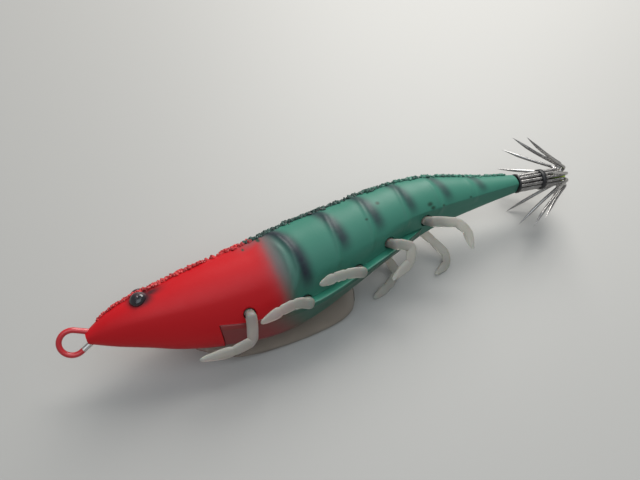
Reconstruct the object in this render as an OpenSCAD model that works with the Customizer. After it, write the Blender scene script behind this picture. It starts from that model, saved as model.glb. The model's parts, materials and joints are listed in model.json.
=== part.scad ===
// Shrimp-shaped squid jig: hollow two-part body, weighted belly cover with a clear keel,
// five pairs of soft swinging legs, a wire line eye and a one-row crown of needles at the tail.
// Lure frame: X from nose to tail, Y to the lure's right, Z towards its back, nose tip at zero.
// Every node is drawn through laid(), which rolls the lure onto its right side on a table.

/* [Body] */
// width of the body compared with the standard outline
width_factor = 1; // [0.95:0.01:1.03]
// wall of the moulded shells
wall = 1.3; // [1:0.1:1.6]
// thickness of the grit coat on the back
grit_t = 0.45; // [0.3:0.05:0.6]
// radius of the eyes
eye_r = 1.9; // [1.6:0.1:2]

/* [Keel and cover] */
// thickness of the clear keel fin
keel_t = 1.2; // [0.8:0.1:1.6]
// how far the belly cover's rim stands out past the shell
ledge = 0.7; // [0.4:0.1:1]

/* [Legs] */
// width of a leg at its thigh
leg_w = 2.6; // [2:0.1:3]
// thickness of a leg
leg_t = 1.3; // [1:0.1:1.5]
// radius of the round stub on which a leg turns
stub_r = 1.05; // [0.8:0.05:1.1]

/* [Line eye] */
// wire radius of the line eye
eye_wire_r = 0.6; // [0.4:0.05:0.6]
// radius of the ring, to the middle of the wire
eye_ring_r = 2.65; // [2.2:0.05:2.8]

/* [Needle crown] */
// number of needles
needles_n = 12; // [8:1:12]
// wire radius of a needle
needle_r = 0.4; // [0.3:0.05:0.41]
// spread of the needle tips from the shaft
needle_angle = 38; // [32:1:42]
// length of the free arm of a needle
needle_arm = 13; // [11:0.5:14]

/* [Hidden] */
roll = -46.38;
pitch = 0.74;
rest_shift = [-56.717, 2.033, 13.079];

// body outline: [x, back, height of the widest place, belly, half width]
outline = [
    [0, 1.3, 0.1, -1.2, 1.3], [5, 3.8, 0.3, -3.7, 3.0], [11, 5.3, 0.4, -6.3, 4.6],
    [17, 6.0, 0, -9.0, 5.7], [24, 6.9, -0.6, -11.3, 6.7], [32, 7.6, -1, -13.0, 7.6],
    [40, 8.4, -1, -13.6, 8.2], [48, 9.3, -0.4, -12.4, 8.4], [57, 9.7, 0.8, -9.8, 8.2],
    [66, 10.1, 1.8, -7.0, 7.4], [75, 9.9, 2.2, -4.6, 6.3], [83, 8.7, 1.9, -3.2, 5.2],
    [94, 5.3, 1, -2.5, 3.6], [105, 2.35, 0.1, -2.2, 2.4]];
// belly cover: [x, rim height, bottom, half width at the bottom]
cover_table = [
    [26, -5.5, -11.7, 3.4], [32, -7.0, -13.1, 3.6], [40, -7.6, -13.7, 3.4],
    [48, -7.6, -12.5, 3.0], [57, -5.9, -9.9, 2.4], [66, -3.9, -7.1, 1.7], [77, -1.7, -4.2, 0.8]];

function lerp(a, b, t) = a + (b - a) * t;
function seg(tab, x, i = 0) = i >= len(tab) - 2 || x < tab[i + 1][0] ? i : seg(tab, x, i + 1);
function slope(tab, i, k) =
    let (a = max(i - 1, 0), b = min(i + 1, len(tab) - 1)) (tab[b][k] - tab[a][k]) / (tab[b][0] - tab[a][0]);
// smooth curve through column k of a table
function at(tab, x, k) =
    let (i = seg(tab, x), h = tab[i + 1][0] - tab[i][0], t = (x - tab[i][0]) / h)
    (2 * t ^ 3 - 3 * t ^ 2 + 1) * tab[i][k] + (t ^ 3 - 2 * t ^ 2 + t) * h * slope(tab, i, k)
        + (3 * t ^ 2 - 2 * t ^ 3) * tab[i + 1][k] + (t ^ 3 - t ^ 2) * h * slope(tab, i + 1, k);

back_power = 1.15;
belly_power = 0.75;
// body surface at x and girth angle a (90 back, 0 widest, -90 belly), moved inwards by d
function skin(x, a, d = 0) =
    let (w = at(outline, x, 4) * width_factor - d, zw = at(outline, x, 2), c = max(cos(a), 0))
    [x, w * c ^ (a > 0 ? back_power : belly_power),
        a > 0 ? zw + (at(outline, x, 1) - d - zw) * sin(a) : zw + (zw - at(outline, x, 3) - d) * sin(a)];

// solid through equal rings of points; ends close with flat faces
module loft(rings) {
    n = len(rings[0]);
    m = len(rings);
    polyhedron([for (r = rings) each r], concat(
        [for (i = [0:m - 2], j = [0:n - 1]) each
            let (a = i * n + j, b = i * n + (j + 1) % n) [[a, b, a + n], [b, b + n, a + n]]],
        [[for (j = [n - 1:-1:0]) j], [for (j = [0:n - 1]) (m - 1) * n + j]]), convexity = 6);
}
function xs(a, b, n) = [for (i = [0:n]) lerp(a, b, i / n)];
function flip(p, side) = [p[0], side * p[1], p[2]];

body_end = 105;
half_steps = 12;
// one half of the outer body; side is 1 for the right half, -1 for the left
module half_body(side) {
    a = [for (i = [0:half_steps]) 90 - 180 * i / half_steps];
    mirror([0, side > 0 ? 0 : 1, 0])
        loft([for (x = [0, 1.2, 3, 5, 8, 11, 14, 17, 20.5, 24, 28, 32, 36, 40, 44, 48, 52.5, 57, 61.5,
            66, 70.5, 75, 79, 83, 88.5, 94, 99.5, body_end]) [for (g = a) skin(x, g)]]);
}
module cavity() {
    a = [for (i = [0:17]) 90 - 20 * i];
    loft([for (x = [11, 17, 24, 32, 40, 48, 57, 66, 75, 83, 94])
        [for (g = a) let (s = g < -90 ? -1 : 1, p = skin(x, g < -90 ? -180 - g : g, wall)) flip(p, s)]]);
}
// everything under the rim of the belly cover
module under_rim(gap = 0) {
    rotate([90, 0, 0]) linear_extrude(40, center = true)
        polygon(concat([for (r = cover_table) [r[0] - (r[0] < 27 ? gap : 0), r[1] + gap]],
            [[77, -30], [26 - gap, -30]]));
}

// leg roots: [x, z] of each pair, from the head to the tail
roots = [[32.7, -5.2], [45.5, -7.2], [58.8, -5], [67.5, -1.6], [78, 0]];
socket_gap = 0.3;
stub_inner = 3.2;
module sockets(round_steps = 40) {
    for (r = roots) translate([r[0], 0, r[1]]) rotate([90, 0, 0])
        cylinder(r = stub_r + socket_gap, h = 30, center = true, $fn = round_steps);
}

eye_at = [11.95, 2.15, 3.94];
module eye_pits(extra = 0) {
    for (s = [-1, 1]) translate(flip(eye_at, s)) sphere(eye_r + extra, $fn = 40);
}

eye_slot_gap = 0.05;
eye_leg_end = 8;
module eye_slot() {
    translate([eye_leg_end / 2 - 1, 0, 0.1])
        cube([eye_leg_end + 2.4, 2 * (eye_wire_r + eye_slot_gap), 3.2], center = true);
}

// tail axis: the needle bundle leans towards the belly
tail_lean = 8.8;
shaft_r = 1.15;
shaft_in = 10;
module on_tail() { translate([body_end, 0, 0]) rotate([0, 90 + tail_lean, 0]) children(); }
module shaft_hole() {
    on_tail() translate([0, 0, -shaft_in - 0.1]) cylinder(r = shaft_r + 0.05, h = 20, $fn = 40);
}

module shell(side) {
    difference() {
        half_body(side);
        cavity();
        under_rim(0.08);
        sockets();
        eye_pits(0.04);
        eye_slot();
        shaft_hole();
    }
}
module shell_left() { color([0.02, 0.36, 0.22]) laid() shell(-1); }
module shell_right() { color([0.02, 0.36, 0.22]) laid() shell(1); }

// coat of grit along the back between two stations
grit_half_angle = 14;
module grit(x0, x1, n) {
    k = 6;
    a = [for (i = [0:k]) 90 - grit_half_angle * (1 - 2 * i / k)];
    function over(x, g, d) = let (s = g > 90 ? -1 : 1) flip(skin(x, g > 90 ? 180 - g : g, d), s);
    rings = [for (x = xs(x0, x1, n)) concat([for (g = a) over(x, g, -grit_t)],
        [for (i = [k:-1:0]) over(x, a[i], -0.03)])];
    m = 2 * (k + 1);
    e = n * m;
    polyhedron([for (r = rings) each r], concat(
        [for (i = [0:n - 1], j = [0:m - 1]) each
            let (p = i * m + j, q = i * m + (j + 1) % m) [[p, p + m, q], [q, p + m, q + m]]],
        [for (j = [0:k - 1]) [j, j + 1, m - 2 - j, m - 1 - j]],
        [for (j = [0:k - 1]) [e + m - 1 - j, e + m - 2 - j, e + j + 1, e + j]]), convexity = 4);
}
head_end = 42;
module back_grit_head() {
    color([0.75, 0.05, 0.05]) laid() difference() {
        grit(3, head_end, 12);
        eye_pits(0.04);
    }
}
module back_grit_body() { color([0.02, 0.15, 0.1]) laid() grit(head_end + 0.1, 104, 18); }

module eye_left() { color([0.02, 0.02, 0.02]) laid() translate(flip(eye_at, -1)) sphere(eye_r, $fn = 40); }
module eye_right() { color([0.02, 0.02, 0.02]) laid() translate(eye_at) sphere(eye_r, $fn = 40); }

// wire from one point to another
module rod(a, b, r) {
    v = b - a;
    translate(a) rotate([0, acos(v[2] / norm(v)), atan2(v[1], v[0])]) cylinder(r = r, h = norm(v), $fn = 40);
}
eye_centre = [-2.9, 0, 0.2];
eye_mouth = 61;
leg_gap = 0.8;
module line_eye() {
    color([0.8, 0.03, 0.03]) laid() {
        translate(eye_centre) rotate([90, 0, 0]) rotate([0, 0, eye_mouth])
            rotate_extrude(angle = 360 - 2 * eye_mouth, $fn = 60)
                translate([eye_ring_r, 0]) circle(eye_wire_r, $fn = 40);
        for (s = [-1, 1]) {
            a = eye_centre + eye_ring_r * [cos(eye_mouth), 0, s * sin(eye_mouth)];
            b = [1.5, 0, 0.1 + s * leg_gap];
            translate(a) sphere(eye_wire_r + 0.02, $fn = 40);
            rod(a, b, eye_wire_r);
            translate(b) sphere(eye_wire_r + 0.02, $fn = 40);
            rod(b, [eye_leg_end, 0, b[2]], eye_wire_r);
        }
    }
}

// half width of the belly cover's rim
function rim_w(x) =
    let (zw = at(outline, x, 2), zb = at(outline, x, 3), s = (zw - at(cover_table, x, 1)) / (zw - zb))
    at(outline, x, 4) * width_factor * max(1 - s * s, 0) ^ (belly_power / 2)
        + ledge * min(max((x - 26) / 14, 0.05), 1);
// one ring of the cover, moved inwards by d
function cover_ring(x, d = 0) =
    let (w = rim_w(x) - d, zr = at(cover_table, x, 1), zb = at(cover_table, x, 2) + d,
        wb = at(cover_table, x, 3) - d * 0.6, h = zr - zb)
    [[x, w, zr], [x, w, zr - 0.12 * h], [x, lerp(w, wb, 0.55), zb + 0.42 * h], [x, wb, zb + 0.1 * h],
        [x, wb * 0.5, zb], [x, -wb * 0.5, zb], [x, -wb, zb + 0.1 * h], [x, -lerp(w, wb, 0.55), zb + 0.42 * h],
        [x, -w, zr - 0.12 * h], [x, -w, zr]];
// the cover's hollow is open at the top
hollow_from = 28.3;
hollow_to = 66.1;
hollow_steps = 9;
function hollow_ring(x) = let (r = cover_ring(x, wall), up = [0, 0, 2])
    concat([r[0] + up], [for (i = [1:8]) r[i]], [r[9] + up]);
module belly_cover() {
    color([0.02, 0.3, 0.18]) laid() difference() {
        loft([for (x = xs(26, 76.8, 16)) cover_ring(x)]);
        loft([for (x = xs(hollow_from, hollow_to, hollow_steps)) hollow_ring(x)]);
        sockets(12);
        keel_tabs(0.05);
    }
}
// the sinker fills the lower part of the cover's hollow, on the same stations
sinker_gap = 0.15;
sinker_steps = 7;
function sinker_ring(x) = let (r = cover_ring(x, wall + sinker_gap))
    concat([lerp(r[1], r[2], 0.6)], [for (i = [2:7]) r[i]], [lerp(r[8], r[7], 0.6)]);
module sinker() {
    color([0.4, 0.4, 0.42]) laid()
        loft([for (i = [0:sinker_steps])
            sinker_ring(hollow_from + (i == 0 ? 0.3 : i * (hollow_to - hollow_from) / hollow_steps))]);
}

// keel fin, its top edge just under the belly
keel_low = [[57.9, -10.6], [57.4, -13.4], [53.8, -16.5], [44.4, -17.5], [33.3, -16.9], [28, -15.9],
    [20, -10.9]];
tabs_at = [36, 50];
module keel_tabs(extra = 0) {
    for (x = tabs_at) translate([x, 0, at(cover_table, x, 2)])
        cube([4 + 2 * extra, keel_t + 2 * extra, 2 * (0.9 + extra)], center = true);
}
module keel_fin() {
    color([0.6, 0.63, 0.58, 0.5]) laid() {
        rotate([90, 0, 0]) linear_extrude(keel_t, center = true)
            polygon(concat(keel_low, [for (x = xs(20.2, 57.5, 10))
                [x, min(at(outline, x, 3), x < 26 ? 0 : at(cover_table, x, 2)) - 0.05]]));
        keel_tabs();
    }
}

// soft web that joins the leg stubs, held between shells and belly cover
web_r = 0.9;
web_half = 2.9;
module leg_web() {
    color([0.85, 0.84, 0.78]) laid() {
        for (r = roots) translate([r[0], 0, r[1]]) rotate([90, 0, 0])
            cylinder(r = web_r, h = 2 * web_half, center = true, $fn = 40);
        for (i = [0:len(roots) - 2]) {
            a = roots[i];
            v = roots[i + 1] - a;
            translate([a[0], 0, a[1]]) rotate([0, -atan2(v[1], v[0]), 0])
                translate([0, -web_half + 0.4, -0.4]) cube([norm(v), 2 * (web_half - 0.4), 0.8]);
        }
    }
}

// leg paths: [x, outward distance, z] from the socket to the tip, left legs then right legs
left_paths = [
    [[32.3, 9.2, -7.2], [31.3, 9.6, -10.3], [27, 9.6, -10.8], [19.9, 9.3, -10.1]],
    [[43.6, 9.8, -6.2], [41.8, 10.2, -5.8], [38.7, 10.6, -6.0], [33.9, 10.6, -7.0]],
    [[57, 9.4, -4.3], [54.7, 9.6, -3.8], [52, 9.6, -3.6], [48.4, 9.5, -4.0]],
    [[69.2, 8.8, -2.2], [71.2, 9.0, -3.4], [69.8, 9.0, -6.6], [64.7, 8.6, -9.1]],
    [[80, 7.7, -0.6], [83.6, 8.0, -2.0], [85.6, 8.0, -4.4], [86.2, 7.6, -9.4]]];
right_paths = [
    [[32.3, 9.2, -4.2], [28.9, 9.4, -2.4], [23.4, 9.2, -2.6], [18.4, 8.9, -3.6]],
    [[44.4, 9.3, -6.2], [41.6, 9.8, -4.9], [38.2, 10.3, -4.4], [34.6, 10.4, -4.2]],
    [[57.2, 9.2, -4.2], [54.2, 9.3, -3.2], [51.6, 9.3, -2.8], [48.4, 9.2, -2.8]],
    [[68.8, 8.4, -4.4], [70.6, 6.2, -9.0], [70.8, 3.8, -12.0], [67, 2.2, -13.8], [62.6, 1.4, -15.0]],
    [[79.8, 7.4, -2.8], [82.8, 5.6, -8.0], [84.6, 3.6, -11.8], [83.4, 2.2, -13.8], [79.4, 1.3, -15.0]]];
leg_sides = 8;
// one leg: a round stub in its socket, then a flat three-part limb that narrows to a point
module leg(i, side) {
    r = roots[i];
    path = (side < 0 ? left_paths : right_paths)[i];
    y0 = path[0][1];
    start = [r[0], y0, r[1]];
    pts = concat([start], path);
    spine = concat([for (k = [0:len(pts) - 2]) each [pts[k], lerp(pts[k], pts[k + 1], 0.5)]],
        [pts[len(pts) - 1]]);
    n = len(spine) - 1;
    rings = [for (k = [0:n])
        let (t = spine[min(k + 1, n)] - spine[max(k - 1, 0)], u = t / norm(t),
            w = [u[2], 0, -u[0]] / norm([u[2], 0, u[0]]),
            q = k / n, f = q < 0.7 ? 1 - 0.25 * q : 0.825 * sqrt(max(1 - ((q - 0.7) / 0.3) ^ 2, 0.02)))
        [for (j = [0:leg_sides - 1]) let (b = 360 * j / leg_sides)
            spine[k] + leg_w / 2 * f * (k % 2 == 0 && k > 1 && k < n ? 0.86 : 1) * cos(b) * w
                - leg_t / 2 * sqrt(f) * sin(b) * [0, 1, 0]]];
    mirror([0, side > 0 ? 0 : 1, 0]) {
        loft(rings);
        translate([r[0], stub_inner, r[1]]) rotate([-90, 0, 0])
            cylinder(r = stub_r, h = y0 - stub_inner, $fn = 40);
    }
}
module leg_left_1() { color([0.9, 0.88, 0.82]) laid() leg(0, -1); }
module leg_left_2() { color([0.9, 0.88, 0.82]) laid() leg(1, -1); }
module leg_left_3() { color([0.9, 0.88, 0.82]) laid() leg(2, -1); }
module leg_left_4() { color([0.9, 0.88, 0.82]) laid() leg(3, -1); }
module leg_left_5() { color([0.9, 0.88, 0.82]) laid() leg(4, -1); }
module leg_right_1() { color([0.9, 0.88, 0.82]) laid() leg(0, 1); }
module leg_right_2() { color([0.9, 0.88, 0.82]) laid() leg(1, 1); }
module leg_right_3() { color([0.9, 0.88, 0.82]) laid() leg(2, 1); }
module leg_right_4() { color([0.9, 0.88, 0.82]) laid() leg(3, 1); }
module leg_right_5() { color([0.9, 0.88, 0.82]) laid() leg(4, 1); }

// needle crown, along the tail axis
shank_start = 0.9;
shank_end = 12.35;
shank_ring_r = 1.85;
bend_r = 0.9;
needle_phase = 14;
point_h = 4;
shaft_out = 10.4;
bundle_r = shank_ring_r + needle_r;
bead_r = shank_ring_r - needle_r - 0.03;
bead_h = 2.9;
module tail_shaft() {
    color([0.35, 0.33, 0.32]) laid() on_tail() translate([0, 0, -shaft_in])
        cylinder(r = shaft_r, h = shaft_in + shaft_out, $fn = 40);
}
module tail_collar() {
    color([0.05, 0.05, 0.05]) laid() on_tail() translate([0, 0, 0.4]) difference() {
        cylinder(r = bundle_r + 0.1, h = 0.45, $fn = 40);
        translate([0, 0, -0.1]) cylinder(r = shaft_r + 0.03, h = 0.7, $fn = 40);
    }
}
module binding_ring() {
    color([0.03, 0.03, 0.03]) laid() on_tail() translate([0, 0, 6.85]) difference() {
        cylinder(r = bundle_r + 0.3, h = 1.2, $fn = 40);
        translate([0, 0, -0.1]) cylinder(r = bundle_r + 0.02, h = 1.4, $fn = 40);
    }
}
module needles() {
    color([0.12, 0.11, 0.11]) laid() on_tail() for (i = [0:needles_n - 1])
        rotate([0, 0, needle_phase + 360 * i / needles_n]) translate([shank_ring_r, 0, 0]) {
            translate([0, 0, shank_start]) cylinder(r = needle_r, h = shank_end - shank_start, $fn = 20);
            // a slightly larger ball closes each joint
            translate([0, 0, shank_end]) sphere(needle_r + 0.02, $fn = 20);
            translate([bend_r, 0, shank_end]) rotate([90, 0, 0]) rotate([0, 0, needle_angle])
                rotate_extrude(angle = 180 - needle_angle, $fn = 40)
                    translate([bend_r, 0]) circle(needle_r, $fn = 20);
            translate([bend_r * (1 + cos(needle_angle)), 0, shank_end + bend_r * sin(needle_angle)])
                rotate([0, 180 - needle_angle, 0]) {
                    sphere(needle_r + 0.02, $fn = 20);
                    cylinder(r = needle_r, h = needle_arm - point_h, $fn = 20);
                    translate([0, 0, needle_arm - point_h])
                        cylinder(r1 = needle_r, r2 = 0.05, h = point_h, $fn = 20);
                }
        }
}
module crown_bead() {
    color([0.7, 0.85, 0.05]) laid() on_tail() translate([0, 0, shaft_out + 0.05]) {
        cylinder(r = bead_r, h = bead_h, $fn = 40);
        translate([0, 0, bead_h]) sphere(bead_r, $fn = 40);
    }
}

module laid() { translate(rest_shift) rotate([0, pitch, 0]) rotate([roll, 0, 0]) children(); }

shell_left();
shell_right();
back_grit_head();
back_grit_body();
eye_left();
eye_right();
line_eye();
belly_cover();
sinker();
keel_fin();
leg_web();
leg_left_1();
leg_left_2();
leg_left_3();
leg_left_4();
leg_left_5();
leg_right_1();
leg_right_2();
leg_right_3();
leg_right_4();
leg_right_5();
tail_shaft();
tail_collar();
needles();
binding_ring();
crown_bead();
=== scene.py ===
# %% [markdown]
# # A shrimp-shaped squid jig with soft legs
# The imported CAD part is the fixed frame. Each visible piece is rebuilt here as a fine surface over its
# CAD node and rides on the same body, so the joints keep working.
# %% Load the frame and find the jig's own axes
import json, math
import bpy
import numpy as np
from mathutils import Matrix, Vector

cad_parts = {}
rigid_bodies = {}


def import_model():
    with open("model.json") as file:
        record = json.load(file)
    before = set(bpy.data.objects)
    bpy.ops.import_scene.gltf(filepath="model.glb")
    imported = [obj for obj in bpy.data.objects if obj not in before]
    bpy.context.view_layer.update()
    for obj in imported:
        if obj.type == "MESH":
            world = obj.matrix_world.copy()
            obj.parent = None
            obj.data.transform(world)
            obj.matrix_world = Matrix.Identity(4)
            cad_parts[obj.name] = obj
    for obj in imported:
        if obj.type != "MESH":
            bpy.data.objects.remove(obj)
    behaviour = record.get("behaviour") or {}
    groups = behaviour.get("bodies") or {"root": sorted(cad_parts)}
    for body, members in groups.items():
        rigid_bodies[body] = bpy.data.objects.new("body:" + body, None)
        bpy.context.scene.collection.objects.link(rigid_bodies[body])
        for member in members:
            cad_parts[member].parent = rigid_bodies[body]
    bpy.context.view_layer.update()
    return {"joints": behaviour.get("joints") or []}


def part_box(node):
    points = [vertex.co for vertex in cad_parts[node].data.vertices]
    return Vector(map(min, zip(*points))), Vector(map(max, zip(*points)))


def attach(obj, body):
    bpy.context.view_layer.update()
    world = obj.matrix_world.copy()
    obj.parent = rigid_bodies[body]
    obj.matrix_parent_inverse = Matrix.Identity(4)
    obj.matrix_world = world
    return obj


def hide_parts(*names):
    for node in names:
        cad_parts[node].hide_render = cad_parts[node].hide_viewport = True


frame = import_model()
rng = np.random.default_rng(7)

# The leg joints turn about the jig's own sideways axis, which gives its roll and pitch on the table.
joint = {j["name"]: j for j in frame["joints"]}["leg_left_1_swing"]
AX_Y = np.array(joint["axis"], float)
pitch = math.atan2(-AX_Y[0], -AX_Y[2])
AX_X = np.array([math.cos(pitch), 0.0, -math.sin(pitch)])
AX_Z = np.cross(AX_X, AX_Y)
AXES = np.stack([AX_X, AX_Y, AX_Z])
ROOTS = [(32.7, -5.2), (45.5, -7.2), (58.8, -5.0), (67.5, -1.6), (78.0, 0.0)]
ORIGIN = np.array(joint["pos_m"]) - np.array([ROOTS[0][0], -6.0, ROOTS[0][1]]) @ AXES / 1000


def row(p):
    """Jig millimetres (nose at 0, X to the tail, Y to its right, Z to its back) -> row frame, metres."""
    return np.asarray(p, float) @ AXES / 1000 + ORIGIN


print("jig axes", AXES.round(3).tolist(), "nose at", row([0, 0, 0]).round(4).tolist())

# %% [markdown]
# ## Mesh and shader tools
# A piece is a grid of points P(u, v); neighbours in the grid are joined to quads. Paint is worked out
# per point and stored as named attributes, which the shader reads.
# %% Helpers


def smooth(a, b, x):
    """Smoothstep: 0 below a, 1 above b."""
    t = np.clip((np.asarray(x, float) - a) / (b - a), 0, 1)
    return t * t * (3 - 2 * t)


def curve(table, x, k):
    """Cubic Hermite through column k of a table against its column 0; slopes are central differences."""
    T = np.asarray(table, float)
    X, Y, n = T[:, 0], T[:, k], len(T)
    lo, hi = np.maximum(np.arange(n) - 1, 0), np.minimum(np.arange(n) + 1, n - 1)
    M = (Y[hi] - Y[lo]) / (X[hi] - X[lo])
    x = np.asarray(x, float)
    i = np.clip(np.searchsorted(X, x, "right") - 1, 0, n - 2)
    h = X[i + 1] - X[i]
    t = (x - X[i]) / h
    return ((2 * t**3 - 3 * t**2 + 1) * Y[i] + (t**3 - 2 * t**2 + t) * h * M[i]
            + (3 * t**2 - 2 * t**3) * Y[i + 1] + (t**3 - t**2) * h * M[i + 1])


def mesh(name, verts, quads, tris=(), attrs=None, material=None, shade=True):
    """A mesh object at the origin from row-frame vertices (N,3), quads (M,4) and triangles (K,3)."""
    me = bpy.data.meshes.new(name)
    quads, tris = np.asarray(quads, np.int64).reshape(-1, 4), np.asarray(tris, np.int64).reshape(-1, 3)
    me.vertices.add(len(verts))
    me.vertices.foreach_set("co", np.asarray(verts, np.float32).ravel())
    loops = np.concatenate([quads.ravel(), tris.ravel()])
    starts = np.concatenate([np.arange(len(quads)) * 4, len(quads) * 4 + np.arange(len(tris)) * 3])
    me.loops.add(len(loops))
    me.loops.foreach_set("vertex_index", loops.astype(np.int32))
    me.polygons.add(len(starts))
    me.polygons.foreach_set("loop_start", starts.astype(np.int32))
    me.update(calc_edges=True)
    me.validate()
    me.polygons.foreach_set("use_smooth", np.full(len(me.polygons), shade))
    for key, value in (attrs or {}).items():
        value = np.asarray(value, np.float32)
        if value.ndim == 1:
            me.attributes.new(key, "FLOAT", "POINT").data.foreach_set("value", value)
        else:
            me.attributes.new(key, "FLOAT_VECTOR", "POINT").data.foreach_set("vector", value.ravel())
    ob = bpy.data.objects.new(name, me)
    bpy.context.scene.collection.objects.link(ob)
    if material:
        me.materials.append(material)
    return ob


def grid_faces(nu, nv, wrap_v=False, flip=False, keep=None):
    """Quads of an nu by nv grid of points; keep is a mask of the cells to leave in."""
    u, v = np.meshgrid(np.arange(nu - 1), np.arange(nv if wrap_v else nv - 1), indexing="ij")
    w = (v + 1) % nv
    q = np.stack([u * nv + v, u * nv + w, (u + 1) * nv + w, (u + 1) * nv + v], -1)
    q = q[keep] if keep is not None else q.reshape(-1, 4)
    return q[:, ::-1] if flip else q


def tube(path, width, thick, side, steps=20, power=1.0):
    """Points of a closed tube: an ellipse of half sizes width, thick at each path point, its width in the plane
    square to side; power below 1 makes the section squarer. Its ends are open. Returns (n, steps, 3)."""
    path = np.asarray(path, float)
    t = np.gradient(path, axis=0)
    t /= np.linalg.norm(t, axis=1, keepdims=True)
    s = np.asarray(side, float) - (t @ np.asarray(side, float))[:, None] * t
    s /= np.linalg.norm(s, axis=1, keepdims=True)
    w = np.cross(s, t)
    a = np.linspace(0, 2 * np.pi, steps, endpoint=False)
    ca, sa = np.cos(a), np.sin(a)
    ca, sa = np.sign(ca) * abs(ca) ** power, np.sign(sa) * abs(sa) ** power
    return path[:, None] + np.asarray(width)[:, None, None] * ca[None, :, None] * w[:, None] \
        + np.asarray(thick)[:, None, None] * sa[None, :, None] * s[:, None]


def closed(name, rings, attrs=None, **kw):
    """A tube of rings closed at both ends by fans to the ends' centres, faces outwards."""
    n, m = rings.shape[:2]
    verts = np.concatenate([rings.reshape(-1, 3), rings[0].mean(0)[None], rings[-1].mean(0)[None]])
    quads = grid_faces(n, m, wrap_v=True)
    j = np.arange(m)
    k = (j + 1) % m
    tris = np.concatenate([np.stack([np.full(m, n * m), k, j], -1),
                           np.stack([np.full(m, n * m + 1), (n - 1) * m + j, (n - 1) * m + k], -1)])
    a, b, c = verts[tris[:, 0]], verts[tris[:, 1]], verts[tris[:, 2]]
    q = verts[quads]
    # six times the enclosed volume: below zero when the faces look inwards
    vol = ((np.cross(a, b) * c).sum() + (np.cross(q[:, 0], q[:, 1]) * q[:, 2]).sum()
           + (np.cross(q[:, 0], q[:, 2]) * q[:, 3]).sum())
    if vol < 0:
        quads, tris = quads[:, ::-1], tris[:, ::-1]
    extra = {}
    for key, value in (attrs or {}).items():
        value = np.asarray(value, float).reshape(n * m, -1)
        ends = np.stack([value[:m].mean(0), value[-m:].mean(0)])
        extra[key] = np.concatenate([value, ends]).squeeze()
    return mesh(name, row(verts), quads, tris, attrs=extra, **kw)


class Sock:
    """A shader socket with arithmetic: a + b, a * 2, 1 - a and so on make Math nodes."""

    def __init__(self, tree, socket):
        self.tree, self.socket = tree, socket

    def node(self, kind, inputs=(), out=0, **props):
        """Any other node: inputs maps names or numbers to values or Socks; returns the chosen output."""
        n = self.tree.nodes.new(kind)
        for key, value in props.items():
            setattr(n, key, value)
        for key, value in dict(inputs).items():
            if isinstance(value, Sock):
                self.tree.links.new(value.socket, n.inputs[key])
            else:
                n.inputs[key].default_value = value
        return Sock(self.tree, n.outputs[out])

    def math(self, op, *args, clamp=False):
        """A Math node on the given values."""
        return self.node("ShaderNodeMath", dict(enumerate(args)), operation=op, use_clamp=clamp)

    def clamped(self):
        """This value held between 0 and 1."""
        return self.math("ADD", self, 0.0, clamp=True)

    def __add__(self, o): return self.math("ADD", self, o)
    def __radd__(self, o): return self.math("ADD", o, self)
    def __sub__(self, o): return self.math("SUBTRACT", self, o)
    def __rsub__(self, o): return self.math("SUBTRACT", o, self)
    def __mul__(self, o): return self.math("MULTIPLY", self, o)
    def __rmul__(self, o): return self.math("MULTIPLY", o, self)

    def step(self, a, b):
        """Smoothstep of this value from a to b."""
        return self.node("ShaderNodeMapRange", {0: self, 1: a, 2: b, 3: 0.0, 4: 1.0},
                         interpolation_type="SMOOTHSTEP")

    def mix(self, a, b):
        """Colour a where this value is 0, b where it is 1."""
        colour = lambda c: c if isinstance(c, Sock) else (*c, 1.0)
        return self.node("ShaderNodeMix", {"Factor": self, 6: colour(a), 7: colour(b)}, out=2, data_type="RGBA")


def material(name, base=(0.8, 0.8, 0.8), **sockets):
    """A Principled material; socket names have underscores for spaces. Returns (material, start)."""
    mat = bpy.data.materials.new(name)
    mat.use_nodes = True
    tree = mat.node_tree
    shader = tree.nodes["Principled BSDF"]
    shader.inputs["Base Color"].default_value = (*base, 1)
    for key, value in sockets.items():
        shader.inputs[key.replace("_", " ")].default_value = value
    start = Sock(tree, None)

    def feed(socket, value):
        tree.links.new(value.socket, shader.inputs[socket])
    start.feed = feed
    start.attr = lambda key: start.node("ShaderNodeAttribute", attribute_name=key, out="Fac")
    start.place = start.node("ShaderNodeTexCoord", out="Object")
    start.noise = lambda scale, detail=2.0, rough=0.5: start.node(
        "ShaderNodeTexNoise", {"Vector": start.place, "Scale": scale, "Detail": detail, "Roughness": rough})
    start.bump = lambda height, strength, distance: feed("Normal", start.node(
        "ShaderNodeBump", {"Height": height, "Strength": strength, "Distance": distance}))
    return mat, start


# %% [markdown]
# ## Body shells
# The real body is two injection-moulded halves glued together and airbrushed. It could be carved from a
# block with modifiers, but a formula keeps both halves mirror twins. Each half here is a single skin
# with a lip along its rim; the inside is never seen. Its outline is one table of stations: back, widest
# place, belly and half width. On top of it come the shell's steps, like a shrimp's rings.
# %% Body surface
OUTLINE = [
    [0, 1.3, 0.1, -1.2, 1.3], [5, 3.8, 0.3, -3.7, 3.0], [11, 5.3, 0.4, -6.3, 4.6], [17, 6.0, 0, -9.0, 5.7],
    [24, 6.9, -0.6, -11.3, 6.7], [32, 7.6, -1, -13.0, 7.6], [40, 8.4, -1, -13.6, 8.2],
    [48, 9.3, -0.4, -12.4, 8.4],
    [57, 9.7, 0.8, -9.8, 8.2], [66, 10.1, 1.8, -7.0, 7.4], [75, 9.9, 2.2, -4.6, 6.3], [83, 8.7, 1.9, -3.2, 5.2],
    [94, 5.3, 1, -2.5, 3.6], [105, 2.35, 0.1, -2.2, 2.4]]
RIM = [[0, -0.8], [14, -3.0], [26, -5.5], [32, -7.0], [40, -7.6], [48, -7.6], [57, -5.9], [66, -3.9],
       [77, -1.7], [90, -1.1], [105, -1.0]]
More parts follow.
